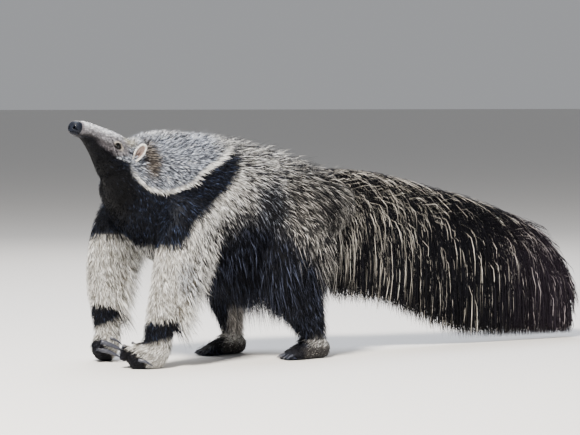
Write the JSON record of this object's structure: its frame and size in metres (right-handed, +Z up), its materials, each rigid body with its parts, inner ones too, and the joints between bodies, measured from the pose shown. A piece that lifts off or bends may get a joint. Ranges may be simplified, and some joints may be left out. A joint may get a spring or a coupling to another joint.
{
  "type": "giant anteater model",
  "caption": "Life-size giant anteater standing in a walking stance, head raised and turned left, long snout, striped shoulder, curtain-like haired tail.",
  "frame": {"origin": "on the floor, under the centre of the model's overall box", "axes": "+X towards the tail, the head points to -X; +Y towards the animal's right side; +Z up"},
  "size_m": [1.8319, 0.3921, 0.7058],
  "materials": {
    "coat_grey": "long rough hair, matt",
    "coat_face": "very short dense hair, matt",
    "coat_white": "rough hair, matt",
    "coat_black": "long rough hair, soft sheen",
    "coat_brown": "very long coarse hair, soft sheen",
    "nose_skin": "moist bare skin",
    "ear_skin": "thin bare skin, matt",
    "eye": "polished",
    "claw_horn": "worn horn, satin"
  },
  "bodies": {
    "root": {"chest": "coat_grey", "claw_fore_left_1": "claw_horn", "claw_fore_left_2": "claw_horn", "claw_fore_left_3": "claw_horn", "claw_fore_left_4": "claw_horn", "claw_fore_right_1": "claw_horn", "claw_fore_right_2": "claw_horn", "claw_fore_right_3": "claw_horn", "claw_fore_right_4": "claw_horn", "claw_hind_left_1": "claw_horn", "claw_hind_left_2": "claw_horn", "claw_hind_left_3": "claw_horn", "claw_hind_left_4": "claw_horn", "claw_hind_left_5": "claw_horn", "claw_hind_right_1": "claw_horn", "claw_hind_right_2": "claw_horn", "claw_hind_right_3": "claw_horn", "claw_hind_right_4": "claw_horn", "claw_hind_right_5": "claw_horn", "ear_left": "ear_skin", "ear_right": "ear_skin", "eye_left": "eye", "eye_right": "eye", "forefoot_left": "coat_white", "forefoot_right": "coat_white", "foreleg_left": "coat_white", "foreleg_right": "coat_white", "head": "coat_face", "hindfoot_left": "coat_black", "hindfoot_right": "coat_black", "hindleg_left": "coat_black", "hindleg_right": "coat_black", "neck": "coat_grey", "nose": "nose_skin", "rump": "coat_grey", "tail_base": "coat_brown", "tail_middle": "coat_brown", "tail_tip": "coat_brown"}
  },
  "joints": []
}
